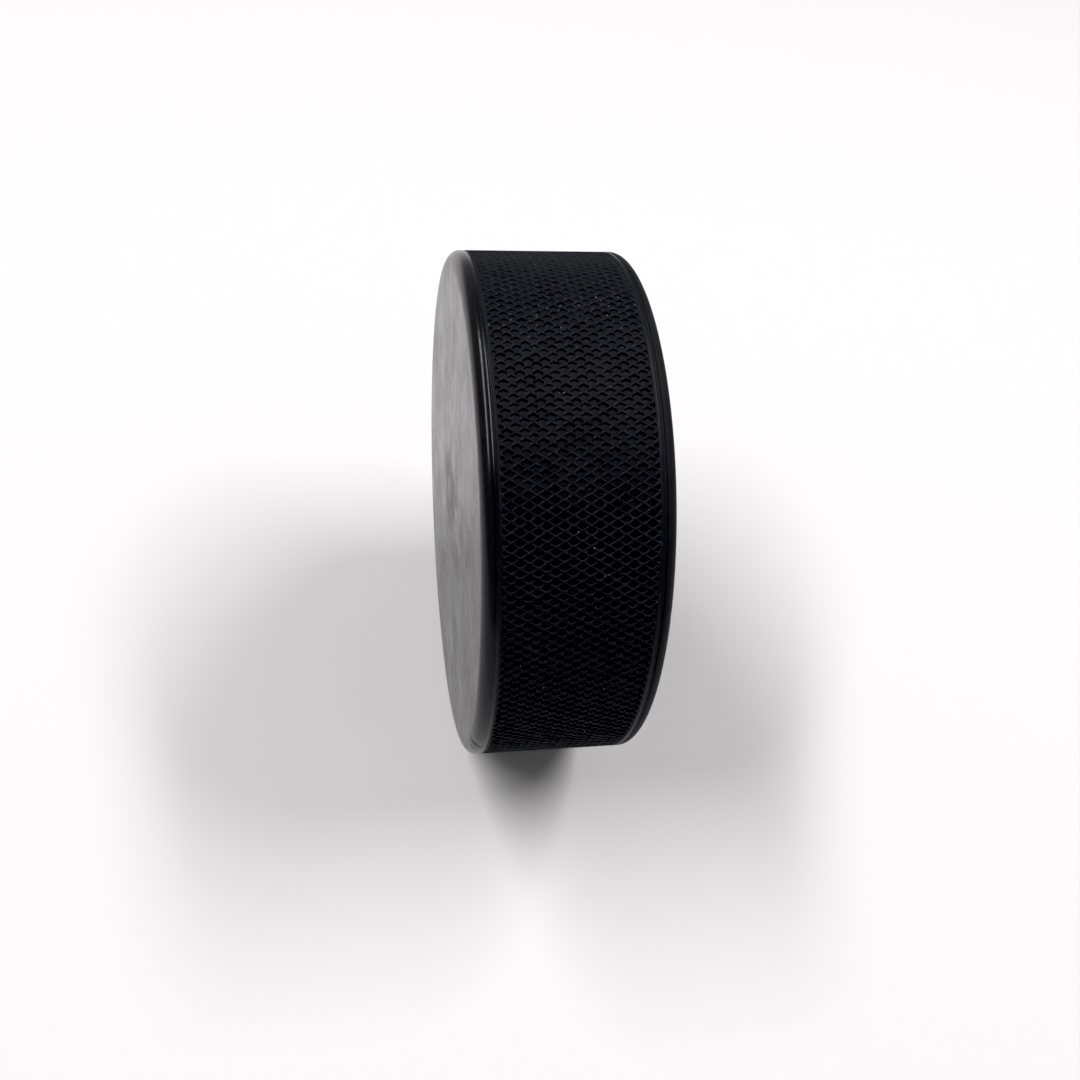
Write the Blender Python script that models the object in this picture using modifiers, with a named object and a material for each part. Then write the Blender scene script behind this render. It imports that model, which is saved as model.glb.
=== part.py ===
"""Ice hockey puck: one disc of black vulcanised rubber, compression-moulded in a single piece.

The puck stands on its edge. Its axis lies along X, the edge rests on the plane Z = 0, and the
origin is the point on that plane right under the middle of the puck.

Between two smooth rounded rims runs the grip band. Here the band is the plain cylinder on which the
crests of its diamond pattern lie. A fine groove, left by the joint between the ring and the end
plates of the mould, parts the band from the plain shoulder of each rim.
"""

import math

import bpy
from mathutils import Matrix

# Driving dimensions, in metres
DIAMETER = 0.0762
THICKNESS = 0.0254
RIM_WIDTH = 0.00162  # rounding between each flat face and the edge, measured along the axis
RIM_HEIGHT = 0.00220  # the same rounding, measured towards the axis
BAND_WIDTH = 0.0206  # grip band, measured along the axis
GROOVE_WIDTH = 0.0004
GROOVE_DEPTH = 0.00005

# Facets of the turned shape
FLATS_ROUND = 60  # divisible by 4, so that a flat lies at the top, bottom, front and back
RIM_STEPS = 5
MERGE_DISTANCE = 0.00001  # closes the turned shape where its profile meets the axis

RUBBER_COLOUR = (0.012, 0.012, 0.014, 1.0)
RUBBER_ROUGHNESS = 0.40


def clear_scene():
    for obj in list(bpy.data.objects):
        bpy.data.objects.remove(obj, do_unlink=True)


def new_collection(name):
    collection = bpy.data.collections.new(name)
    bpy.context.scene.collection.children.link(collection)
    return collection


def rubber_material():
    material = bpy.data.materials.new("black_rubber")
    material.use_nodes = True
    shader = material.node_tree.nodes["Principled BSDF"]
    shader.inputs["Base Color"].default_value = RUBBER_COLOUR
    shader.inputs["Roughness"].default_value = RUBBER_ROUGHNESS
    shader.inputs["Metallic"].default_value = 0.0
    return material


def half_outline():
    """(radius, height) points from the middle of the upper face, over the rim, to the band's edge."""
    radius = DIAMETER / 2
    rim_start = THICKNESS / 2 - RIM_WIDTH
    band_edge = BAND_WIDTH / 2
    points = [(0.0, THICKNESS / 2)]
    for step in range(RIM_STEPS + 1):
        angle = math.pi / 2 * (1 - step / RIM_STEPS)
        out = radius - RIM_HEIGHT + RIM_HEIGHT * math.cos(angle)
        points.append((out, rim_start + RIM_WIDTH * math.sin(angle)))
    points.append((radius, band_edge + GROOVE_WIDTH))
    points.append((radius - GROOVE_DEPTH, band_edge + GROOVE_WIDTH / 2))
    points.append((radius, band_edge))
    return points


def turned_mesh(name, outline):
    """An open profile in the XZ plane. The flats of the turned shape touch the true circle, so its
    corners, where the profile lies, are a little further out."""
    corner = 1 / math.cos(math.pi / FLATS_ROUND)
    vertices = [(radius * corner, 0.0, height) for radius, height in outline]
    edges = [(i, i + 1) for i in range(len(vertices) - 1)]
    mesh = bpy.data.meshes.new(name)
    mesh.from_pydata(vertices, edges, [])
    return mesh


def add_turning(obj):
    screw = obj.modifiers.new("turn", "SCREW")
    screw.axis = "Z"
    screw.angle = 2 * math.pi
    screw.steps = FLATS_ROUND
    screw.render_steps = FLATS_ROUND
    screw.use_merge_vertices = True
    screw.merge_threshold = MERGE_DISTANCE
    screw.use_smooth_shade = True


def make_puck(collection):
    upper = half_outline()
    lower = [(radius, -height) for radius, height in reversed(upper)]
    puck = bpy.data.objects.new("puck_body", turned_mesh("puck_body", upper + lower))
    collection.objects.link(puck)
    puck.data.materials.append(rubber_material())
    add_turning(puck)
    half_flat = Matrix.Rotation(math.pi / FLATS_ROUND, 4, "Z")
    on_edge = Matrix.Rotation(math.pi / 2, 4, "Y")
    lifted = Matrix.Translation((0.0, 0.0, DIAMETER / 2))
    puck.matrix_world = lifted @ on_edge @ half_flat


def main():
    clear_scene()
    make_puck(new_collection("hockey_puck"))


main()
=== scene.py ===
"""Looks of an ice hockey puck that stands on its edge: one finely modelled rubber body, with a raised
diamond net round its edge, on a pale studio floor.

Metres, +Z up. The puck's axis lies along X, and the floor is the plane Z = 0. A point on the puck is
given by its place along the axis, its angle round the edge (0 at the front, 90 degrees at the top) and
its depth below the outer radius.
"""

import math
import random

import bmesh
import bpy
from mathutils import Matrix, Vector, noise


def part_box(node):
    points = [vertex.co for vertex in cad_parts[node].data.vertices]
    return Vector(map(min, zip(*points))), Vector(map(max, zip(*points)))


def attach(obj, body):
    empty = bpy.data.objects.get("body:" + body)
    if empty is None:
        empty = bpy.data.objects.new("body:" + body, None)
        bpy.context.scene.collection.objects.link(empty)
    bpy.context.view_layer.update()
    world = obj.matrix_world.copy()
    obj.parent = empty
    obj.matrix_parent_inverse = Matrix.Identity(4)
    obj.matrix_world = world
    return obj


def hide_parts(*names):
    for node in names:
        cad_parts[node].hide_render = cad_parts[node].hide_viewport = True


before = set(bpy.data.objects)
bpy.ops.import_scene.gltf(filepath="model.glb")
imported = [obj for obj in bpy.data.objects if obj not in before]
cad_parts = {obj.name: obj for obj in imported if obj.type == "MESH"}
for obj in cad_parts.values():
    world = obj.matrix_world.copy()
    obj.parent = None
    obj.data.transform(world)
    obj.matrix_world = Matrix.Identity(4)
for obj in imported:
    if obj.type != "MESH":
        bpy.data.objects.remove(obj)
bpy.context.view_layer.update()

MM = 0.001
SEED = 41

# The puck's size and place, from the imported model
NODE_LOW, NODE_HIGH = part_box("puck_body")
HALF_THICKNESS = (NODE_HIGH.x - NODE_LOW.x) / 2
RADIUS = (NODE_HIGH.z - NODE_LOW.z) / 2
CENTRE = (NODE_LOW + NODE_HIGH) / 2

# The diamond net of the grip band
CELLS_ROUND = 183
CELLS_ACROSS = 9
NET_ANGLE = math.radians(30)  # between the ridges and the puck's axis
CELL_HEIGHT = 2 * math.pi * RADIUS / CELLS_ROUND
CELL_WIDTH = CELL_HEIGHT / math.tan(NET_ANGLE)
NET_HALF_WIDTH = CELLS_ACROSS * CELL_WIDTH / 2
HALF_CELLS_ROUND = 2 * CELLS_ROUND
HALF_CELLS_ACROSS = 2 * CELLS_ACROSS

# Section of half a ridge: distance from the crest line, depth, and how far the cell's corners are cut
RIDGE_SECTION = (
    (0.028 * MM, 0.010 * MM, 0.15),
    (0.090 * MM, 0.100 * MM, 0.20),
    (0.152 * MM, 0.250 * MM, 0.24),
)
SHARP_CORNER_CUT = 0.8  # how much further a sharp corner is cut back
FLOOR_DEPTH = 0.242 * MM
FLOOR_VARIATION = 0.010 * MM
DEPTH_VARIATION = 0.16  # share of a cell's depth, either way
CELL_JITTER = 0.035 * MM
CREST_WEAR = 0.03 * MM
CREST_WEAR_SIZE = 5 * MM

# Section of the edge beside the net, as (distance from the middle plane, depth)
LAND_SECTION = (
    (10.30 * MM, 0.015 * MM),
    (10.42 * MM, 0.050 * MM),
    (10.55 * MM, 0.050 * MM),
    (10.68 * MM, 0.010 * MM),
    (10.80 * MM, 0.000 * MM),
    (10.90 * MM, 0.020 * MM),
    (10.98 * MM, 0.060 * MM),
    (11.03 * MM, 0.080 * MM),
    (11.07 * MM, 0.020 * MM),
)
RIM_START = 11.08 * MM
RIM_HEIGHT = 2.20 * MM
RIM_ROUNDNESS = 2.0  # 2 is an ellipse, and less is closer to a bevel
RIM_STEPS = 8
FACE_RINGS = (35.7 * MM, 34.8 * MM, 32.5 * MM, 29.0 * MM, 23.0 * MM, 13.0 * MM)
FACE_WAVE = 0.02 * MM
FACE_WAVE_SIZE = 14 * MM

# Small nicks in the rims: side, angle in degrees, place down the rim from 0 to 1, length and depth
NICKS = (
    (-1, -17.0, 0.45, 1.5 * MM, 0.16 * MM),
    (-1, -21.5, 0.55, 0.9 * MM, 0.12 * MM),
    (-1, 158.0, 0.60, 1.1 * MM, 0.12 * MM),
    (1, 24.0, 0.50, 1.0 * MM, 0.12 * MM),
    (1, 196.0, 0.60, 1.4 * MM, 0.14 * MM),
)
NICK_CUTS = 3
NICK_LENGTH_SHARE = 0.80  # of a nick's reach, across the rim
NICK_WIDTH_SHARE = 0.35  # the same, along the rim
SHARP_ANGLE = math.radians(50)  # an edge whose faces meet at more than this stays sharp


# ---------------------------------------------------------------- the puck's mesh


class PuckMesh:
    """Collects points on the puck and the faces between them."""

    def __init__(self):
        self.points = []
        self.faces = []

    def point(self, along, angle, depth):
        out = RADIUS - depth
        self.points.append((along, -out * math.cos(angle), out * math.sin(angle)))
        return len(self.points) - 1

    def face(self, corners, flipped=False):
        self.faces.append(tuple(reversed(corners)) if flipped else tuple(corners))


def crest_depth(along, angle):
    """How far wear has lowered the ridges here."""
    spot = Vector((along, -RADIUS * math.cos(angle), RADIUS * math.sin(angle))) / CREST_WEAR_SIZE
    return CREST_WEAR * max(0.0, noise.noise(spot))


def inset_corners(corners, distance):
    """The corners of a convex outline whose sides move inwards by distance."""
    moved = []
    for i, corner in enumerate(corners):
        back = (corners[i - 1] - corner).normalized()
        ahead = (corners[(i + 1) % len(corners)] - corner).normalized()
        moved.append(corner + (back + ahead) * distance / abs(back.cross(ahead)))
    return moved


def cut_corners(corners, share):
    """Two points for each corner, one towards each neighbour. A sharp corner is cut back further."""
    ring = []
    for i, corner in enumerate(corners):
        back = corners[i - 1] - corner
        ahead = corners[(i + 1) % len(corners)] - corner
        cut = share * (1 + SHARP_CORNER_CUT * back.normalized().dot(ahead.normalized()))
        ring.append(corner + back * cut)
        ring.append(corner + ahead * cut)
    return ring


def add_cell(puck, column, row, corners, crossings, rng):
    """The walls and floor of one cell. corners are in metres from the cell's place in the net, and
    crossings are the net's points at them, both anticlockwise."""
    start_along = -NET_HALF_WIDTH + column * CELL_WIDTH / 2 + rng.uniform(-CELL_JITTER, CELL_JITTER)
    start_angle = row * math.pi / CELLS_ROUND + rng.uniform(-CELL_JITTER, CELL_JITTER) / RADIUS
    deeper = 1 + rng.uniform(-DEPTH_VARIATION, DEPTH_VARIATION)

    def inner_point(spot, depth):
        return puck.point(start_along + spot.x, start_angle + spot.y / RADIUS, depth * deeper)

    rings = []
    for distance, depth, share in RIDGE_SECTION:
        ring = cut_corners(inset_corners(corners, distance), share)
        rings.append([inner_point(spot, depth) for spot in ring])
    count = len(crossings)
    first = rings[0]
    for i in range(count):
        after = (i + 1) % count
        puck.face((crossings[i], first[2 * i], first[2 * i + 1]), flipped=True)
        puck.face((crossings[i], crossings[after], first[2 * after], first[2 * i + 1]))
    for outer, inner in zip(rings, rings[1:]):
        for i in range(2 * count):
            after = (i + 1) % (2 * count)
            puck.face((outer[i], outer[after], inner[after], inner[i]))
    middle = sum(corners, Vector((0, 0))) / count
    centre = inner_point(middle, FLOOR_DEPTH + rng.uniform(-FLOOR_VARIATION, FLOOR_VARIATION))
    for i in range(2 * count):
        puck.face((rings[-1][i], rings[-1][(i + 1) % (2 * count)], centre))


def build_net(puck):
    """The net and its cells. Returns the points along its left and right borders."""
    crossings = {}
    for column in range(HALF_CELLS_ACROSS + 1):
        for row in range(column % 2, HALF_CELLS_ROUND, 2):
            along = -NET_HALF_WIDTH + column * CELL_WIDTH / 2
            angle = row * math.pi / CELLS_ROUND
            crossings[column, row] = puck.point(along, angle, crest_depth(along, angle))
    right = Vector((CELL_WIDTH / 2, 0))
    up = Vector((0, CELL_HEIGHT / 2))
    rng = random.Random(SEED)
    for column in range(HALF_CELLS_ACROSS + 1):
        for row in range((column + 1) % 2, HALF_CELLS_ROUND, 2):
            around = [
                (right, column + 1, row),
                (up, column, row + 1),
                (-right, column - 1, row),
                (-up, column, row - 1),
            ]
            inside = [spot for spot in around if 0 <= spot[1] <= HALF_CELLS_ACROSS]
            corners = [spot[0] for spot in inside]
            ends = [crossings[spot[1], spot[2] % HALF_CELLS_ROUND] for spot in inside]
            add_cell(puck, column, row, corners, ends, rng)
    rows = range(0, HALF_CELLS_ROUND, 2)
    return [crossings[0, row] for row in rows], [crossings[HALF_CELLS_ACROSS, row] for row in rows]


def rim_point(down):
    """(distance from the middle plane, depth) on the rounded rim, from 0 at the edge to 1 at the face."""
    turn = math.pi / 2 * down
    power = 2 / RIM_ROUNDNESS
    along = RIM_START + (HALF_THICKNESS - RIM_START) * math.sin(turn) ** power
    return along, RIM_HEIGHT * (1 - max(0.0, math.cos(turn)) ** power)


def side_section():
    """The section from the net's border to the face, as (distance from the middle plane, depth)."""
    rim = [rim_point(step / RIM_STEPS) for step in range(RIM_STEPS + 1)]
    return list(LAND_SECTION) + rim


def face_place(side, out, angle):
    """Distance from the middle plane to the flat face, which has a faint wave in it."""
    spot = Vector((side, out * math.cos(angle) / FACE_WAVE_SIZE, out * math.sin(angle) / FACE_WAVE_SIZE))
    return HALF_THICKNESS - FACE_WAVE * (0.5 + 0.5 * noise.noise(spot))


def build_side(puck, border, side):
    """From the net's border to the middle of the flat face. side is -1 on the left, 1 on the right."""
    count = len(border)
    angles = [i * 2 * math.pi / count for i in range(count)]
    rings = [border]
    for along, depth in side_section():
        rings.append([puck.point(side * along, angle, depth) for angle in angles])
    for out in FACE_RINGS:
        places = [(side * face_place(side, out, angle), angle) for angle in angles]
        rings.append([puck.point(along, angle, RADIUS - out) for along, angle in places])
    for outer, inner in zip(rings, rings[1:]):
        for i in range(count):
            after = (i + 1) % count
            puck.face((outer[i], inner[i], inner[after], outer[after]), flipped=side < 0)
    middle = puck.point(side * HALF_THICKNESS, 0.0, RADIUS)
    for i in range(count):
        puck.face((rings[-1][i], middle, rings[-1][(i + 1) % count]), flipped=side < 0)


def press_nick(shape, side, angle, down, length, depth):
    """Presses a short dent into the rim, after giving the mesh there enough points for it."""
    along, inset = rim_point(down)
    out = RADIUS - inset
    spot = Vector((side * along, -out * math.cos(angle), out * math.sin(angle)))
    middles = [(edge, (edge.verts[0].co + edge.verts[1].co) / 2) for edge in shape.edges]
    near = [edge for edge, middle in middles if (middle - spot).length < length]
    bmesh.ops.subdivide_edges(shape, edges=near, cuts=NICK_CUTS, use_grid_fill=True)
    radial = Vector((0, -math.cos(angle), math.sin(angle)))
    inwards = -(radial + Vector((side, 0, 0))).normalized()
    round_edge = Vector((0, math.sin(angle), math.cos(angle)))
    for vertex in shape.verts:
        offset = vertex.co - spot
        if offset.length > length:
            continue
        along_rim = offset.dot(round_edge)
        across = along_rim / (NICK_WIDTH_SHARE * length)
        lengthways = (offset - round_edge * along_rim).length / (NICK_LENGTH_SHARE * length)
        vertex.co += inwards * depth * math.exp(-across * across - lengthways * lengthways)


def build_puck():
    puck = PuckMesh()
    left_border, right_border = build_net(puck)
    build_side(puck, left_border, -1)
    build_side(puck, right_border, 1)
    mesh = bpy.data.meshes.new("puck_rubber")
    mesh.from_pydata(puck.points, [], puck.faces)
    shape = bmesh.new()
    shape.from_mesh(mesh)
    for side, angle, down, length, depth in NICKS:
        press_nick(shape, side, math.radians(angle), down, length, depth)
    shape.to_mesh(mesh)
    shape.free()
    mesh.validate()
    mesh.shade_smooth()
    mesh.set_sharp_from_angle(angle=SHARP_ANGLE)
    body = bpy.data.objects.new("puck_rubber", mesh)
    body.location = CENTRE
    bpy.context.scene.collection.objects.link(body)
    return body


# ---------------------------------------------------------------- rubber

# Colours
BLACK = (0.0046, 0.0057, 0.0087, 1)
# Lighter colour for the net's crests and cell walls, with the cell floors left in the darker base colour:
# painted light on the ridges and painted shade in the cells.
RIDGE_PAINTED_LIGHT = (0.0105, 0.0125, 0.0170, 1)
RIM = (0.0120, 0.0127, 0.0148, 1)
BLOOM = (0.0200, 0.0195, 0.0205, 1)
SMEAR = (0.0250, 0.0200, 0.0203, 1)
# Lighter colour for scuffs and hairlines, and for spots on the net's crests that are painted glints
# standing in for highlights.
SCUFF_AND_GLINT = (0.0550, 0.0545, 0.0560, 1)
DUST = (0.4200, 0.4100, 0.3900, 1)

# How strongly each colour covers the one below it
CLOUD_COVER = 0.20
BLOOM_COVER = 0.70
SMEAR_COVER = 0.80
# The crest and wall covers paint the ridges lighter than the cell floors: painted light and painted
# shade.
CREST_PAINTED_LIGHT_COVER = 0.16
WALL_PAINTED_LIGHT_COVER = 0.70
# The right rim is painted darker than the left: painted shade.
RIGHT_RIM_PAINTED_SHADE_COVER = 0.50
SCUFF_AND_GLINT_COVER = 0.40
HAIRLINE_COVER = 0.35

# Roughness of the plain rubber, and what each zone or mark adds to it
ROUGHNESS_RANGE = (0.195, 0.235)
BAND_ROUGHNESS = 0.42
WALL_ROUGHNESS = -0.10
RIGHT_RIM_ROUGHNESS = 0.45
BLOOM_ROUGHNESS = 0.06
SMEAR_ROUGHNESS = 0.13
SCUFF_AND_GLINT_ROUGHNESS = 0.15
SPECK_ROUGHNESS = 0.30

RUBBER_IOR = 1.30

# Zones in millimetres: distances from the middle plane, then depths below the net's crests. Each pair
# says where a change starts and ends.
RADIUS_IN_MM = RADIUS / MM
BAND_END = (10.4, 10.5)
RIM_ON_RIGHT = (10.4, 10.8)
FLAT_START = (12.3, 12.55)
CREST_END = (0.03, 0.18)
WALL_START = (0.012, 0.05)
WALL_END = (0.14, 0.23)

# Patterns: noise cells in a millimetre, detail and roughness
CLOUD_NOISE = (0.35, 4.0, 0.60)
BROAD_BLOOM_NOISE = (0.085, 4.0, 0.55)
FINE_BLOOM_NOISE = (0.55, 3.0, 0.60)
SMEAR_NOISE = (0.21, 3.0, 0.60)
RIM_SCUFF_NOISE = (1.1, 5.0, 0.68)
CREST_GLINT_NOISE = (1.7, 4.0, 0.70)
GRAIN_NOISE = (3.2, 3.0, 0.60)
WAVE_NOISE = (0.7, 2.0, 0.50)

# Noise values from which a pattern starts to show and where it is at its strongest
CLOUD_RANGE = (0.30, 0.70)
BLOOM_RANGE = (0.50, 0.90)
SMEAR_RANGE = (0.38, 0.60)
RIM_SCUFF_RANGE = (0.56, 0.72)
CREST_GLINT_RANGE = (0.54, 0.68)

FINE_BLOOM_SHARE = 0.35

# Scuffs where the rim turns into the face: distance from the middle plane and radius, in millimetres
SCUFFED_RIM = (11.9, 12.45)
SCUFFED_RADIUS = (35.4, 36.3)

# The smear on the left face: its middle in millimetres, 1 over its reach along X, Y and Z, and the
# shares of that reach between which it fades
SMEAR_PLACE = (-12.7, 0.5, 2.5)
SMEAR_SCALE = (0.5, 1 / 18, 1 / 12)
SMEAR_FADE = (0.15, 1.0)

# Hairline scratches on the faces: direction in radians, noise cells in a millimetre across them, rough
# share of the face that has them, and noise cells in a millimetre for where that is
HAIRLINES = (
    (0.4, 2.1, 0.52, 0.124),
    (1.3, 1.7, 0.50, 0.133),
    (2.5, 2.6, 0.50, 0.145),
)
HAIRLINE_STRETCH = 28
HAIRLINE_WIDTH = 0.012
HAIRLINE_FADE = 0.04

# Dust: the middle of the dusty patch in millimetres, its shape, and the distances between which it
# fades. A speck lies in some of the cells of a Voronoi pattern.
DUST_PATCH = (1.5, -2.5, 37.9)
DUST_PATCH_SCALE = (0.5, 1, 1)
DUST_PATCH_FADE = (3.2, 8.0)
DUST_CELLS = 2.0  # in a millimetre
DUST_EMPTY_CELLS = (0.64, 0.982)  # shares inside the patch and outside it
SPECK_SIZE = (0.08, 0.12)  # the smallest, and how much larger the largest is
SPECK_STRENGTH = (0.14, 0.60)  # the weakest, and how much stronger the strongest is

# Bump heights in millimetres
GRAIN_HEIGHT = 0.003
BAND_GRAIN_HEIGHT = 0.016  # on top of the plain grain
WAVE_HEIGHT = 0.014
HAIRLINE_HEIGHT = -0.006
SPECK_HEIGHT = 0.060


class Graph:
    """Adds nodes to a material and links them. A source is an output of another node or a number."""

    def __init__(self, material):
        material.use_nodes = True
        self.tree = material.node_tree
        self.shader = self.tree.nodes["Principled BSDF"]

    def put(self, source, target):
        if isinstance(source, bpy.types.NodeSocket):
            self.tree.links.new(source, target)
        else:
            target.default_value = source

    def add(self, kind, sources=(), **settings):
        node = self.tree.nodes.new(kind)
        for name, value in settings.items():
            setattr(node, name, value)
        for key, source in dict(sources).items():
            self.put(source, node.inputs[key])
        return node

    def math(self, operation, first, second=0.0, third=0.0):
        node = self.add("ShaderNodeMath", {0: first, 1: second, 2: third}, operation=operation)
        return node.outputs[0]

    def both(self, first, second):
        return self.math("MULTIPLY", first, second)

    def add_share(self, share, amount, value):
        """value, with amount more of it where share is 1."""
        return self.math("MULTIPLY_ADD", share, amount, value)

    def vector(self, operation, first, second=(0, 0, 0)):
        node = self.add("ShaderNodeVectorMath", {0: first, 1: second}, operation=operation)
        return node.outputs["Value" if operation == "LENGTH" else "Vector"]

    def noise(self, place, scale, detail=2.0, roughness=0.5):
        sources = {"Vector": place, "Scale": scale, "Detail": detail, "Roughness": roughness}
        return self.add("ShaderNodeTexNoise", sources).outputs["Fac"]

    def step(self, value, start, end, low=0.0, high=1.0):
        """low up to start, high from end on, and a smooth change between them."""
        sources = {"Value": value, "From Min": start, "From Max": end, "To Min": low, "To Max": high}
        return self.add("ShaderNodeMapRange", sources, interpolation_type="SMOOTHSTEP").outputs["Result"]

    def mix(self, share, first, second):
        node = self.add("ShaderNodeMix", data_type="RGBA")
        for name, source in (("Factor_Float", share), ("A_Color", first), ("B_Color", second)):
            self.put(source, next(s for s in node.inputs if s.identifier == name))
        return next(s for s in node.outputs if s.identifier == "Result_Color")


class Zones:
    """Where each part of the rubber is, worked out from the place on the puck in millimetres."""

    def __init__(self, g):
        place = g.add("ShaderNodeTexCoord").outputs["Object"]
        scale = g.add("ShaderNodeVectorMath", {0: place, "Scale": 1 / MM}, operation="SCALE")
        self.place = scale.outputs["Vector"]
        across = g.add("ShaderNodeSeparateXYZ", {0: self.place}).outputs["X"]
        self.from_middle = g.math("ABSOLUTE", across)
        self.radius = g.vector("LENGTH", g.vector("MULTIPLY", self.place, (0, 1, 1)))
        depth = g.math("SUBTRACT", RADIUS_IN_MM, self.radius)
        self.band = g.step(self.from_middle, *BAND_END, 1.0, 0.0)
        self.flat = g.step(self.from_middle, *FLAT_START)
        self.rim = g.math("SUBTRACT", g.math("SUBTRACT", 1.0, self.band), self.flat)
        self.right_rim = g.both(self.rim, g.step(across, *RIM_ON_RIGHT))
        self.crest = g.both(self.band, g.step(depth, *CREST_END, 1.0, 0.0))
        below_top = g.both(self.band, g.step(depth, *WALL_START))
        self.wall = g.both(below_top, g.step(depth, *WALL_END, 1.0, 0.0))


class Marks:
    """What use has left on the rubber, and painted glints on the net's crests. Each mark goes from 0,
    where it is absent, to 1 at most.
    """

    def __init__(self, g, zones):
        self.clouds = g.noise(zones.place, *CLOUD_NOISE)
        self.bloom = face_bloom(g, zones)
        self.smear = face_smear(g, zones)
        self.scuffs_and_glints = edge_scuffs_and_crest_glints(g, zones)
        self.hairlines = 0.0
        for hairline in HAIRLINES:
            self.hairlines = g.math("MAXIMUM", self.hairlines, scratches(g, zones, *hairline))
        self.specks = dust_specks(g, zones)


def face_bloom(g, zones):
    """Cloudy bloom on the flat faces."""
    fine = g.noise(zones.place, *FINE_BLOOM_NOISE)
    patches = g.add_share(fine, FINE_BLOOM_SHARE, g.noise(zones.place, *BROAD_BLOOM_NOISE))
    return g.both(zones.flat, g.step(patches, *BLOOM_RANGE))


def face_smear(g, zones):
    """A soft, faint smear near the middle of the left face."""
    from_smear = g.vector("MULTIPLY", g.vector("SUBTRACT", zones.place, SMEAR_PLACE), SMEAR_SCALE)
    near = g.step(g.vector("LENGTH", from_smear), *SMEAR_FADE, 1.0, 0.0)
    return g.both(near, g.step(g.noise(zones.place, *SMEAR_NOISE), *SMEAR_RANGE))


def scratches(g, zones, turn, density, share, patches):
    """Thin straight hairlines on the faces in one direction."""
    sources = {"Vector": zones.place, "Angle": turn}
    turned = g.add("ShaderNodeVectorRotate", sources, rotation_type="X_AXIS").outputs["Vector"]
    stretched = g.vector("MULTIPLY", turned, (1, density, density / HAIRLINE_STRETCH))
    from_line = g.math("ABSOLUTE", g.math("SUBTRACT", g.noise(stretched, 1.0, 1.0), 0.5))
    line = g.step(from_line, 0.0, HAIRLINE_WIDTH, 1.0, 0.0)
    bare = 1 - share
    where = g.step(g.noise(zones.place, patches, 1.0), bare, bare + HAIRLINE_FADE)
    return g.both(g.both(line, where), zones.flat)


def edge_scuffs_and_crest_glints(g, zones):
    """Scuffed spots where the rim turns into the face, and lighter spots on the net's crests that are
    painted glints.
    """
    rim = g.both(g.step(zones.from_middle, *SCUFFED_RIM), g.step(zones.radius, *SCUFFED_RADIUS))
    rim_spots = g.step(g.noise(zones.place, *RIM_SCUFF_NOISE), *RIM_SCUFF_RANGE)
    # Lighter spots on the crests: painted glints standing in for highlights.
    crest_glints = g.step(g.noise(zones.place, *CREST_GLINT_NOISE), *CREST_GLINT_RANGE)
    return g.math("MAXIMUM", g.both(rim, rim_spots), g.both(zones.crest, crest_glints))


def dust_specks(g, zones):
    """Sparse specks of dust on the grip band, thicker in one patch on top."""
    sources = {"Vector": zones.place, "Scale": DUST_CELLS, "Randomness": 1.0}
    cells = g.add("ShaderNodeTexVoronoi", sources, feature="F1")
    draw = g.add("ShaderNodeSeparateColor", {0: cells.outputs["Color"]})
    from_patch = g.vector("MULTIPLY", g.vector("SUBTRACT", zones.place, DUST_PATCH), DUST_PATCH_SCALE)
    empty = g.step(g.vector("LENGTH", from_patch), *DUST_PATCH_FADE, *DUST_EMPTY_CELLS)
    chosen = g.math("GREATER_THAN", draw.outputs["Red"], empty)
    smallest, size_range = SPECK_SIZE
    size = g.add_share(draw.outputs["Green"], size_range, smallest)
    speck = g.math("LESS_THAN", cells.outputs["Distance"], size)
    weakest, strength_range = SPECK_STRENGTH
    strength = g.add_share(draw.outputs["Blue"], strength_range, weakest)
    return g.both(strength, g.both(zones.band, g.both(chosen, speck)))


def rubber_colour(g, zones, marks):
    colour = g.mix(g.both(marks.clouds, CLOUD_COVER), BLACK, BLOOM)
    colour = g.mix(g.both(marks.bloom, BLOOM_COVER), colour, BLOOM)
    colour = g.mix(g.both(marks.smear, SMEAR_COVER), colour, SMEAR)
    # Painted light and shade: crests and cell walls lighter, cell floors left darker.
    colour = g.mix(g.both(zones.crest, CREST_PAINTED_LIGHT_COVER), colour, RIDGE_PAINTED_LIGHT)
    colour = g.mix(g.both(zones.wall, WALL_PAINTED_LIGHT_COVER), colour, RIDGE_PAINTED_LIGHT)
    colour = g.mix(zones.rim, colour, RIM)
    # Painted shade: the right rim darkened towards the base colour.
    colour = g.mix(g.both(zones.right_rim, RIGHT_RIM_PAINTED_SHADE_COVER), colour, BLACK)
    # Scuffs on the rims, and painted glints on the net's crests.
    colour = g.mix(g.both(marks.scuffs_and_glints, SCUFF_AND_GLINT_COVER), colour, SCUFF_AND_GLINT)
    colour = g.mix(g.both(marks.hairlines, HAIRLINE_COVER), colour, SCUFF_AND_GLINT)
    return g.mix(marks.specks, colour, DUST)


def rubber_roughness(g, zones, marks):
    rough = g.step(marks.clouds, *CLOUD_RANGE, *ROUGHNESS_RANGE)
    rough = g.add_share(zones.band, BAND_ROUGHNESS, rough)
    rough = g.add_share(zones.wall, WALL_ROUGHNESS, rough)
    rough = g.add_share(zones.right_rim, RIGHT_RIM_ROUGHNESS, rough)
    rough = g.add_share(marks.bloom, BLOOM_ROUGHNESS, rough)
    rough = g.add_share(marks.smear, SMEAR_ROUGHNESS, rough)
    rough = g.add_share(marks.scuffs_and_glints, SCUFF_AND_GLINT_ROUGHNESS, rough)
    return g.add_share(marks.specks, SPECK_ROUGHNESS, rough)


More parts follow.
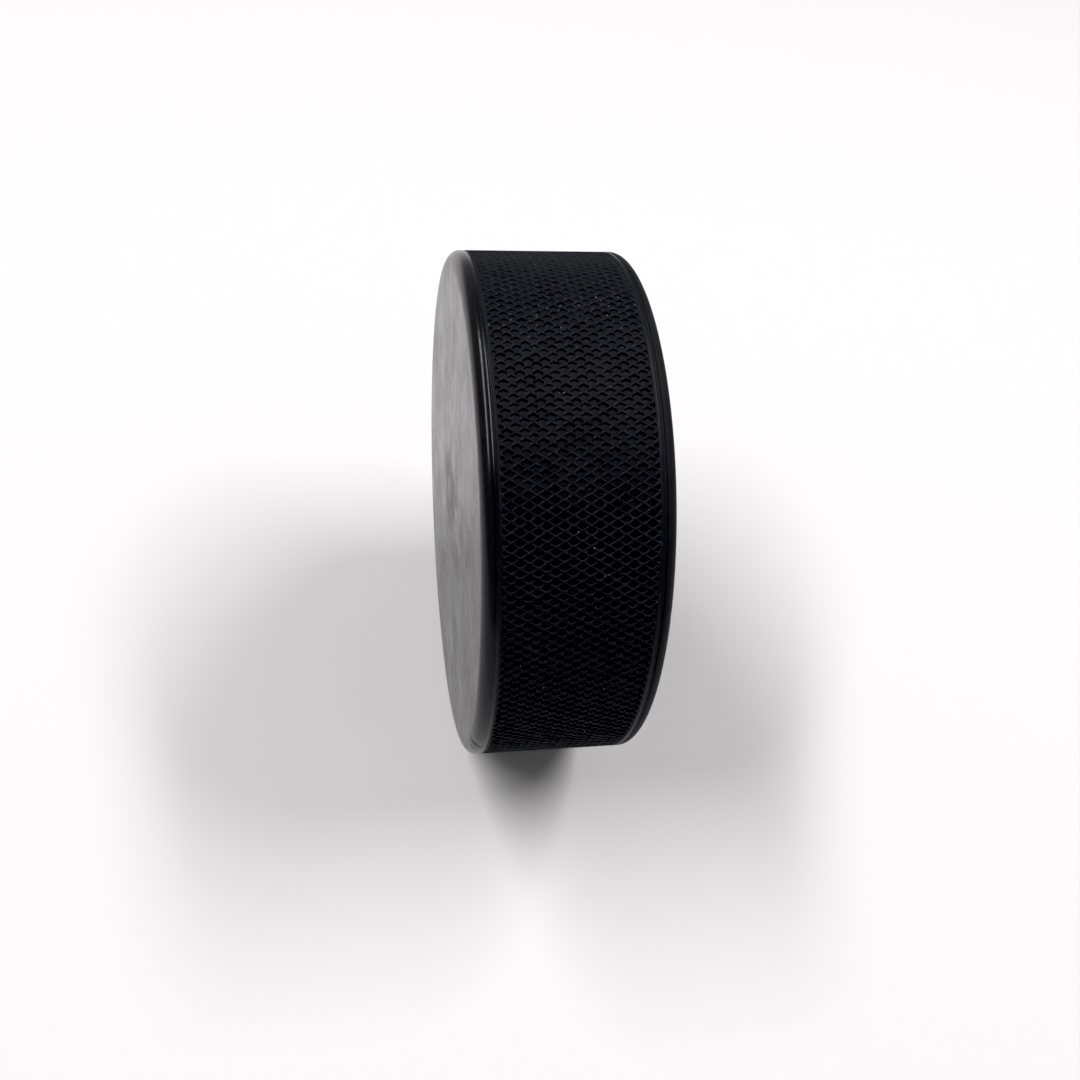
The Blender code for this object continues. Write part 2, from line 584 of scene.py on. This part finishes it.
def rubber_bump(g, zones, marks):
    """The rubber's normal, with fine grain, faint waves, hairlines and specks."""
    grain = g.add_share(zones.band, BAND_GRAIN_HEIGHT, GRAIN_HEIGHT)
    height = g.both(g.noise(zones.place, *GRAIN_NOISE), grain)
    height = g.add_share(g.noise(zones.place, *WAVE_NOISE), WAVE_HEIGHT, height)
    height = g.add_share(marks.hairlines, HAIRLINE_HEIGHT, height)
    height = g.add_share(marks.specks, SPECK_HEIGHT, height)
    bump = g.add("ShaderNodeBump", {"Strength": 1.0, "Distance": MM, "Height": height})
    return bump.outputs["Normal"]


def rubber():
    material = bpy.data.materials.new("black_rubber")
    g = Graph(material)
    zones = Zones(g)
    marks = Marks(g, zones)
    g.put(rubber_colour(g, zones, marks), g.shader.inputs["Base Color"])
    g.put(rubber_roughness(g, zones, marks), g.shader.inputs["Roughness"])
    g.put(RUBBER_IOR, g.shader.inputs["IOR"])
    g.put(rubber_bump(g, zones, marks), g.shader.inputs["Normal"])
    return material


puck_rubber = build_puck()
puck_rubber.data.materials.append(rubber())
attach(puck_rubber, "root")
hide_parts("puck_body")


# ---------------------------------------------------------------- studio

CAMERA_PLACE = (-29.7 * MM, -120.6 * MM, 167.5 * MM)
CAMERA_TURN = (36.32, -6.21, -7.91)  # degrees about X, Y and Z
SENSOR_WIDTH = 36.0
LENS = 37.63
CAMERA_SHIFT = 0.102
CLIP_START = 5 * MM

# The floor is a round disc, which bends up into a round wall
FLOOR_RADIUS = 1.1
BEND_RADIUS = 0.6
WALL_TOP = 1.6
BEND_STEPS = 10
FLOOR_SIDES = 96
FLOOR_COLOUR = (0.90, 0.90, 0.90, 1)
FLOOR_ROUGHNESS = 0.8
FLOOR_SPECULAR = 0.2

LIGHT_COLOUR = (1.0, 0.975, 0.985)
WORLD_STRENGTH = 0.070
BLACK_LEVEL = 0.012

# Strip lights above the puck: place, length (roughly along Y), width, and power in watts
STRIP_LIGHTS = {
    "left_strip": ((-0.437, 0.130, 0.842), 0.913, 0.125, 6.4),
    "right_strip": ((0.482, 0.097, 0.758), 0.622, 0.107, 4.5),
}


def make_camera():
    data = bpy.data.cameras.new("camera")
    data.sensor_width = SENSOR_WIDTH
    data.lens = LENS
    data.shift_y = CAMERA_SHIFT
    data.clip_start = CLIP_START
    camera = bpy.data.objects.new("camera", data)
    camera.location = CAMERA_PLACE
    camera.rotation_euler = [math.radians(angle) for angle in CAMERA_TURN]
    bpy.context.scene.collection.objects.link(camera)
    bpy.context.scene.camera = camera


def floor_section():
    """The floor's outer edge, its bend and the top of the wall, as (radius, height)."""
    section = [(FLOOR_RADIUS, 0.0)]
    for step in range(1, BEND_STEPS + 1):
        turn = math.pi / 2 * step / BEND_STEPS
        out = FLOOR_RADIUS + BEND_RADIUS * math.sin(turn)
        section.append((out, BEND_RADIUS * (1 - math.cos(turn))))
    section.append((FLOOR_RADIUS + BEND_RADIUS, WALL_TOP))
    return section


def ring_faces(ring):
    """The faces between one ring of the floor's points and the next."""
    start = ring * FLOOR_SIDES
    above = start + FLOOR_SIDES
    sides = [(side, (side + 1) % FLOOR_SIDES) for side in range(FLOOR_SIDES)]
    return [(start + after, start + side, above + side, above + after) for side, after in sides]


def floor_material():
    material = bpy.data.materials.new("pale_floor")
    g = Graph(material)
    g.put(FLOOR_COLOUR, g.shader.inputs["Base Color"])
    g.put(FLOOR_ROUGHNESS, g.shader.inputs["Roughness"])
    g.put(FLOOR_SPECULAR, g.shader.inputs["Specular IOR Level"])
    return material


def make_floor():
    section = floor_section()
    turns = [2 * math.pi * side / FLOOR_SIDES for side in range(FLOOR_SIDES)]
    points = [(out * math.cos(turn), out * math.sin(turn), up) for out, up in section for turn in turns]
    faces = [tuple(range(FLOOR_SIDES))]
    for ring in range(len(section) - 1):
        faces += ring_faces(ring)
    mesh = bpy.data.meshes.new("floor")
    mesh.from_pydata(points, [], faces)
    mesh.shade_smooth()
    mesh.polygons[0].use_smooth = False  # the disc
    mesh.materials.append(floor_material())
    floor = bpy.data.objects.new("floor", mesh)
    bpy.context.scene.collection.objects.link(floor)


def make_lights():
    for name, (place, length, width, power) in STRIP_LIGHTS.items():
        data = bpy.data.lights.new(name, "AREA")
        data.shape = "RECTANGLE"
        data.size = length
        data.size_y = width
        data.energy = power
        data.color = LIGHT_COLOUR
        light = bpy.data.objects.new(name, data)
        light.location = place
        light.rotation_euler = (CENTRE - Vector(place)).to_track_quat("-Z", "Y").to_euler()
        bpy.context.scene.collection.objects.link(light)


def make_world():
    world = bpy.data.worlds.new("studio")
    world.use_nodes = True
    background = world.node_tree.nodes["Background"]
    background.inputs["Color"].default_value = (1, 1, 1, 1)
    background.inputs["Strength"].default_value = WORLD_STRENGTH
    bpy.context.scene.world = world


def set_tone():
    """Plain tones, with the deepest shadows left fully black."""
    view = bpy.context.scene.view_settings
    view.view_transform = "Standard"
    view.use_curve_mapping = True
    view.curve_mapping.black_level = (BLACK_LEVEL, BLACK_LEVEL, BLACK_LEVEL)
    view.curve_mapping.update()


make_camera()
make_floor()
make_lights()
make_world()
set_tone()
